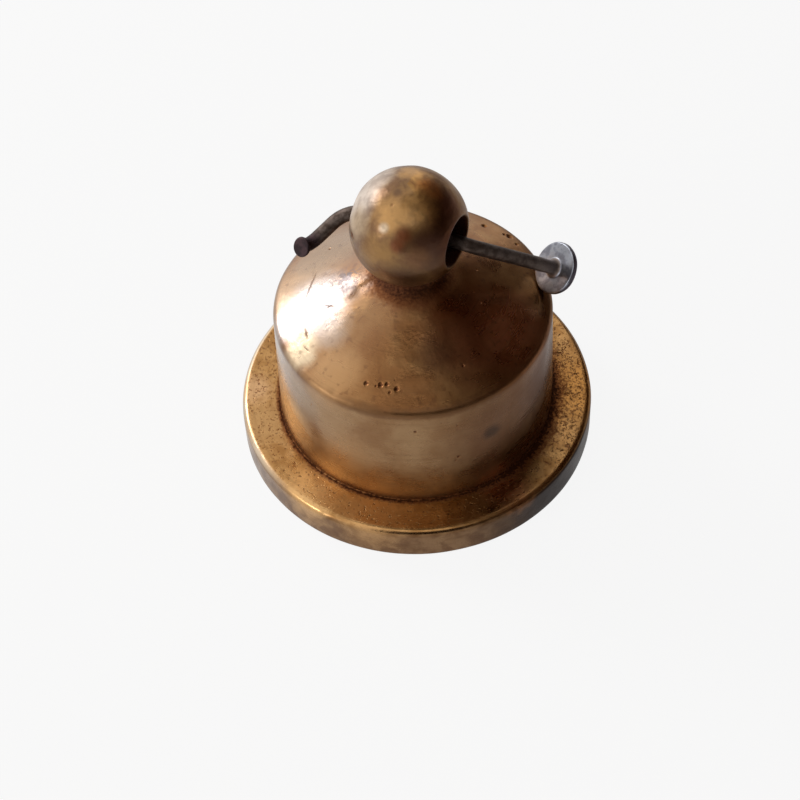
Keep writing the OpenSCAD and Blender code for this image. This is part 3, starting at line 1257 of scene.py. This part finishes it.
# %% [markdown]
# ## Gloss, wax and bare metal
#
# Three more numbers vary over the brass. The roughness is a slow noise, so a reflection is crisp
# here and soft there, and the dirt, the ball and the shoulder are duller. The wax film is thick
# where hands go, thin elsewhere, and missing on dirt and smudges. The share of bare metal is full
# on the flange, a little less under the drum's film and on the cone, and least on the ball.

# %% The numbers of the shader
waxed_place = on_cone(-163, 20)


def brass_gloss(tree, here, dirt_and_shade):
    """Roughness from 0 to 1."""
    rest = clouds(tree, here["place"], 5.0, detail=1.0)
    gloss = fade(tree, rest, 0.3, 0.7, 0.23, 0.33)
    dulled = (
        fade(tree, here["lines"], 0.4, 0.7, 0.0, 0.04),
        scaled(tree, dirt_and_shade, 0.5),
        scaled(tree, fade(tree, here["height"], 46.0, 47.5), 0.08),
        fade(tree, ring_distance(tree, here, *shoulder_ring), 0.5, 1.8, 0.14, 0.0),
    )
    for more in dulled:
        gloss = math_node(tree, "ADD", gloss, more)
    return gloss


def wax_film(tree, here, dirt_and_shade):
    """How thick the film of wax and grease is."""
    from_hand = point_distance(tree, here["place"], waxed_place)
    film = fade(tree, from_hand, 12.0, 27.0, 0.85, 0.05)
    dull = math_node(tree, "MAXIMUM", dirt_and_shade, smudge_and_ball_reflection(tree, here))
    return scaled(tree, fade(tree, dull, 0.0, 0.6, 1.0, 0.0), film)


def bare_metal(tree, here, dirt_and_shade):
    """How much of the surface is metal and not patina."""
    bare = fade(tree, here["height"], 7.9, 9.0, 1.0, 0.8)
    patina_on_ball = fade(tree, here["height"], *ball_begins, 0.0, 0.4)
    bare = math_node(tree, "SUBTRACT", bare, patina_on_ball)
    bare = math_node(tree, "MAXIMUM", bare, dirt_and_shade)
    return math_node(tree, "MAXIMUM", bare, here["away"])


print("wax is thickest round", [round(x / mm) for x in waxed_place])

# %% [markdown]
# ## Relief
#
# What is too fine for the mesh is a bump: the grain of the casting, the turning marks, the small
# pores, the slow waves of a surface that has been knocked about, and the crumbs of the dirt. Each
# bump node hands its tilted surface on to the next one, so all five add up. Only the pores go
# inwards. The distance says how deep the relief would be if it were real, in metres.

# %% Five bumps in a chain
def bump(tree, height, strength, depth, before=None, inwards=False):
    """One layer of relief over the one before."""
    values = {"Strength": strength, "Distance": depth * mm, "Height": height, "Normal": before}
    return node(tree, "Bump", invert=inwards, sockets=values)


def brass_relief(tree, here, dark, pores):
    """Grain, turning marks, pores, knocks and crumbs."""
    beaten = clouds(tree, here["place"], 2.4, detail=2.0, rough=0.6)
    beaten = scaled(tree, beaten, fade(tree, here["height"], 34.0, 47.0, 0.35, 1.0))
    relief = bump(tree, here["small"], 0.3, 0.05)
    relief = bump(tree, here["lines"], 0.08, 0.04, relief)
    relief = bump(tree, pores, 0.6, 0.12, relief, inwards=True)
    relief = bump(tree, beaten, 0.6, 0.22, relief)
    return bump(tree, scaled(tree, here["small"], dark), 0.4, 0.2, relief)


print("relief up to 0.22 mm deep")

# %% [markdown]
# ## The brass material
#
# Now one metal shader takes the colour, the three numbers and the relief. The coat's own roughness
# and strength of reflection are the same all over, so they are set on the shader itself.

# %% Put the layers together
def brass_material():
    """Everything above in one metal shader."""
    material, tree = new_material("old brass")
    here = brass_measures(tree)
    rusty, dark = packed_dirt_and_shade(tree, here)
    pores = fine_pores(tree, here)
    dirt_and_shade = math_node(tree, "MAXIMUM", scaled(tree, rusty, 0.7), dark)
    varied = {
        "Metallic": bare_metal(tree, here, dirt_and_shade),
        "Roughness": brass_gloss(tree, here, dirt_and_shade),
        "Coat Weight": wax_film(tree, here, dirt_and_shade),
        "Coat Roughness": 0.2,
        "Coat IOR": 1.55,
        "Normal": brass_relief(tree, here, dark, pores),
    }
    skin = brass_tone(tree, here, rusty, dark, pores)
    finish_material(tree, node(tree, "BsdfPrincipled", skin, sockets=varied))
    return material


brass.data.shade_smooth()
brass.data.set_sharp_from_angle(angle=math.radians(50))
brass.data.materials.clear()
brass.data.materials.append(brass_material())
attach(brass, "root")
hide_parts("finial_body")
print("brass triangles:", sum(len(f.vertices) - 2 for f in brass.data.polygons))

# %% [markdown]
# ## The nail's route
#
# A wire nail is straight until somebody bends it, so its middle line is made of straight runs and
# of bends with a radius. It lies in the hole from one mouth to the other, a little up the back
# wall. On the right it bends over the lip and comes to rest with its head on the shoulder of the
# brass. On the left it bends down, and its cut end is turned up again.
#
# Each run needs only a direction and a length. A bend starts where the run before it ends and is
# tangent to both runs, so the directions and the radius say where it ends.

# %% Lay points along runs and bends
nail_r = 1.325 * mm
lie_angle = math.radians(40)
seat_gap = 0.05 * mm
lie_gap = bore_r - nail_r - seat_gap
lie_point = Vector((0, lie_gap * math.sin(lie_angle), ball_h - lie_gap * math.cos(lie_angle)))
mouth_x = math.sqrt(ball_r**2 - bore_r**2)
run_spacing = 0.45 * mm


def run(route, direction, length):
    """Adds a straight run to the route."""
    start = route[-1]
    route += straight(start, start + direction * length, run_spacing)[1:]


def bend(route, before, after, radius):
    """Adds a bend that starts in the direction before and ends in the direction after."""
    turn = before.angle(after)
    inward = (after - before * math.cos(turn)).normalized()
    centre = route[-1] + inward * radius
    steps = max(4, round(turn * radius / (0.6 * run_spacing)))
    for k in range(1, steps + 1):
        a = turn * k / steps
        route.append(centre + radius * (before * math.sin(a) - inward * math.cos(a)))


right = Vector((1, 0, 0))
leg_direction = towards(49.5, -39.45)
leg_length = 20.2 * mm
head_side = [lie_point]
run(head_side, right, mouth_x)
bend(head_side, right, leg_direction, 3.0 * mm)
run(head_side, leg_direction, leg_length)

tail_direction = towards(232, -34)
tip_direction = towards(249, 19)
tail_side = [lie_point]
run(tail_side, -right, mouth_x - 1.4 * mm)
bend(tail_side, -right, tail_direction, 8.0 * mm)
run(tail_side, tail_direction, 4.0 * mm)
bend(tail_side, tail_direction, tip_direction, 3.0 * mm)

route = list(reversed(tail_side)) + head_side[1:]
shank_length = sum((b - a).length for a, b in zip(route, route[1:]))
print("nail route:", len(route), "points,", round(shank_length / mm, 1), "mm")

# %% [markdown]
# ## Sweeping the nail
#
# A tube along a route needs a ring at each point, square to the route. If each ring is turned
# freshly from "up", the tube twists where the route climbs. Carrying the last ring's direction
# on, and only tilting it as much as the route turns, keeps the columns straight.
#
# The head and the cut tip belong to the same sweep: rings that grow while the route hardly moves
# make the flat underside of a head, and rings that shrink again close its top.

# %% Rings along the nail
nail_columns = 64
head_r = 5.0 * mm
head_thick = 1.2 * mm
head_edge = 0.3 * mm
swell = 0.6 * mm
tip_r = 1.9 * mm
tip_length = 0.85 * mm
tip_edge = 0.35 * mm
tip_cut = math.radians(15)
quarter_turn = [math.radians(15 * k) for k in range(1, 7)]


def nail_head_steps():
    """(distance past the shank's end, radius) of each ring from the swell to the top's middle."""
    steep = 0.4 * swell
    slow = 0.35 * swell
    fifths = [k / 5 for k in range(6)]
    steps = [(-swell * (1 - share) - steep, nail_r + slow * share**2) for share in fifths[:5]]
    fast = swell - slow
    steps += [(-steep * (1 - share), nail_r + slow + fast * share) for share in fifths[1:]]
    flat_from = nail_r + swell
    flat_to = head_r - head_edge
    steps += [(0.0, flat_from + (flat_to - flat_from) * k / 10) for k in range(1, 11)]
    for a in quarter_turn:
        steps.append((head_edge * (1 - math.cos(a)), flat_to + head_edge * math.sin(a)))
    steps.append((head_thick - head_edge, head_r))
    for a in quarter_turn:
        out = flat_to + head_edge * math.cos(a)
        steps.append((head_thick - head_edge * (1 - math.sin(a)), out))
    steps += [(head_thick, flat_to * (1 - k / 9)) for k in range(1, 9)]
    return steps


def nail_tip_steps():
    """(distance past the shank's end, radius, slant) of each ring from the last bend to the cut."""
    steps = []
    for k in range(1, 9):
        share = k / 8
        radius = nail_r + (tip_r - nail_r) * math.sin(math.pi / 2 * share)
        steps.append((tip_length * share, radius, share))
    for a in quarter_turn:
        radius = tip_r - tip_edge * (1 - math.cos(a))
        steps.append((tip_length + tip_edge * math.sin(a), radius, 1.0))
    steps += [(tip_length + tip_edge, (tip_r - tip_edge) * (1 - k / 5), 1.0) for k in range(1, 5)]
    return steps


print("rings: head", len(nail_head_steps()), "and tip", len(nail_tip_steps()))

# %% [markdown]
# ## From rings to a nail
#
# The shank keeps a ring at each point of the route, except where the swell under the head takes
# over. The tip's rings lean step by step until the last ones lie in the slanted cut.

# %% Sweep the rings
cut_turn = Matrix.Rotation(-tip_cut, 3, Vector((0, 0, 1)).cross(tip_direction))
rings = [(point, nail_r, 0.0) for point in route]
tip_end = [(route[0] + tip_direction * d, r, slant) for d, r, slant in nail_tip_steps()]
head_end = [(route[-1] + leg_direction * d, r, 0.0) for d, r in nail_head_steps()]
swell_reach = 1.2 * swell + 0.1 * nail_r
below_swell = [ring for ring in rings if (ring[0] - route[-1]).length > swell_reach]
rings = list(reversed(tip_end)) + below_swell + head_end
centres = [ring[0] for ring in rings]

directions = [-tip_direction] * len(tip_end)
for i in range(len(below_swell)):
    before = centres[max(len(tip_end), len(tip_end) + i - 1)]
    after = centres[min(len(tip_end) + len(below_swell) - 1, len(tip_end) + i + 1)]
    directions.append((after - before).normalized())
directions += [leg_direction] * len(head_end)

side = Vector((0, 0, 1)).cross(directions[0]).normalized()
nail_points = []
for (centre, radius, slant), direction in zip(rings, directions):
    side = (side - direction * side.dot(direction)).normalized()
    other = direction.cross(side)
    for k in range(nail_columns):
        a = 2 * math.pi * k / nail_columns
        spoke = (side * math.cos(a) + other * math.sin(a)) * radius
        nail_points.append(centre + spoke.lerp(cut_turn @ spoke, slant))
nail_faces = []
for i in range(len(rings) - 1):
    join_rings(nail_faces, i * nail_columns, (i + 1) * nail_columns, nail_columns)
nail_faces.append(tuple(reversed(range(nail_columns))))
last_ring = (len(rings) - 1) * nail_columns
nail_faces.append(tuple(range(last_ring, last_ring + nail_columns)))
nail = as_object("bent_nail", nail_points, nail_faces)
print("nail:", len(rings), "rings")

# %% [markdown]
# ## The blows of the hammer
#
# A hammer has bent the nail and struck its head, so neither is quite true. A slow noise pushes the
# points in and out by less than a tenth of a millimetre, and three times as much on the head.

# %% Blows on the head and shank
head_middle = route[-1] + leg_direction * head_thick / 2
tip_middle = route[0] + tip_direction * tip_length
blow_size = 3.4 * mm
blow_on_head = 0.09
blow_on_shank = 0.03
normals = [Vector(n.vector) for n in nail.data.vertex_normals]
for vertex, normal in zip(nail.data.vertices, normals):
    on_head = (vertex.co - head_middle).length < head_r * 1.2
    swing = blow_on_head if on_head else blow_on_shank
    vertex.co += normal * noise.noise(vertex.co / blow_size) * swing * mm
print("nail head at", [round(x / mm, 1) for x in head_middle])

# %% [markdown]
# ## The look of an old nail
#
# The nail was once bright with zinc. The back of its head still is, a dull blotchy grey. The head's
# edge is painted darker, as painted shade, and a dark patch beside the shank is the shank's painted
# reflection in the head. The shank has gone the brown of steel that is handled and rusts a little,
# paler towards the head, and the cut end, where the zinc was sheared off, is dark.
#
# How far a point lies along the leg says where the shank ends and the head begins.

# %% Tones of the nail
head_from = route[-1].dot(leg_direction) / mm
shank_reflection_place = head_middle + towards(-15, -30) * 3.4 * mm
head_rim_shade = colour(84, 76, 84)


def nail_tone(tree, place, blotches, ragged, along, on_head, reached):
    """Brown shank, zinc-grey head, painted shade on its edge, the shank's painted reflection, dark
    cut end.
    """
    shank_mix = fade(tree, blotches, 0.38, 0.62)
    zinc_mix = fade(tree, blotches, 0.4, 0.62)
    cut_mix = fade(tree, blotches, 0.4, 0.6)
    shank = blend_colour(tree, shank_mix, colour(106, 92, 84), colour(74, 60, 52))
    zinc = blend_colour(tree, zinc_mix, colour(156, 159, 166), colour(122, 122, 130))
    cut = blend_colour(tree, cut_mix, colour(72, 54, 56), colour(50, 38, 40))
    paler = fade(tree, along, head_from - 9, head_from - 2, 0.0, 0.8)
    shank = blend_colour(tree, paler, shank, colour(140, 126, 118))
    skin = blend_colour(tree, on_head, shank, zinc)
    # Painted shade on the head's edge and top.
    past_back = fade(tree, reached, head_from + 0.1, head_from + 0.4)
    skin = blend_colour(tree, past_back, skin, head_rim_shade)
    # Painted reflection of the shank: a dark patch on the head beside it.
    from_shank_reflection = math_node(tree, "ADD", point_distance(tree, place, shank_reflection_place), ragged)
    skin = blend_colour(tree, fade(tree, from_shank_reflection, 0.8, 3.0, 0.8, 0.0), skin, head_rim_shade)
    from_tip = math_node(tree, "ADD", point_distance(tree, place, tip_middle), ragged)
    return blend_colour(tree, fade(tree, from_tip, 2.4, 5.0, 1.0, 0.0), skin, cut)


print("the head begins", round(head_from, 1), "mm along the leg's direction")

# %% [markdown]
# ## The nail material
#
# Zinc is a metal without patina, so the head is all metal and rather glossy. The shank is a little
# less of both, and its rust specks are duller still and pitted.

# %% Put the nail's layers together
def nail_material():
    """Tone, gloss and relief in one metal shader."""
    material, tree = new_material("old steel")
    place = place_in_mm(tree)
    blotches = clouds(tree, place, 1.6, detail=4.0, rough=0.6)
    specks = clouds(tree, place, 0.35, detail=3.0, rough=0.65)
    ragged = centred(tree, blotches, 2.0)
    along = vector_node(tree, "DOT_PRODUCT", place, tuple(leg_direction)).outputs["Value"]
    reached = math_node(tree, "ADD", along, scaled(tree, ragged, 0.15))
    on_head = fade(tree, reached, head_from - 0.2, head_from)
    on_shank = math_node(tree, "SUBTRACT", 1.0, on_head)
    rust = scaled(tree, fade(tree, specks, 0.6, 0.74, 0.0, 0.5), on_shank)
    skin = nail_tone(tree, place, blotches, ragged, along, on_head, reached)
    skin = blend_colour(tree, rust, skin, colour(58, 40, 32))
    gloss = fade(tree, on_head, 0.0, 1.0, 0.5, 0.3)
    rolled = bump(tree, blotches, 0.3, 0.03)
    varied = {
        "Metallic": fade(tree, on_head, 0.0, 1.0, 0.8, 1.0),
        "Roughness": math_node(tree, "ADD", gloss, scaled(tree, rust, 0.2)),
        "Normal": bump(tree, scaled(tree, specks, on_shank), 0.3, 0.02, rolled),
    }
    finish_material(tree, node(tree, "BsdfPrincipled", skin, sockets=varied))
    return material


nail.data.shade_smooth()
nail.data.set_sharp_from_angle(angle=math.radians(50))
nail.data.materials.append(nail_material())
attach(nail, "root")
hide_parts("nail")
print("nail triangles:", sum(len(f.vertices) - 2 for f in nail.data.polygons))

# %% [markdown]
# ## The pieces
#
# The scene ends with two pieces, the brass and the nail. A mesh that is spun and swept anew
# could drift away from the frame's measures without anybody seeing it.


print("pieces:", brass.name, "and", nail.name)
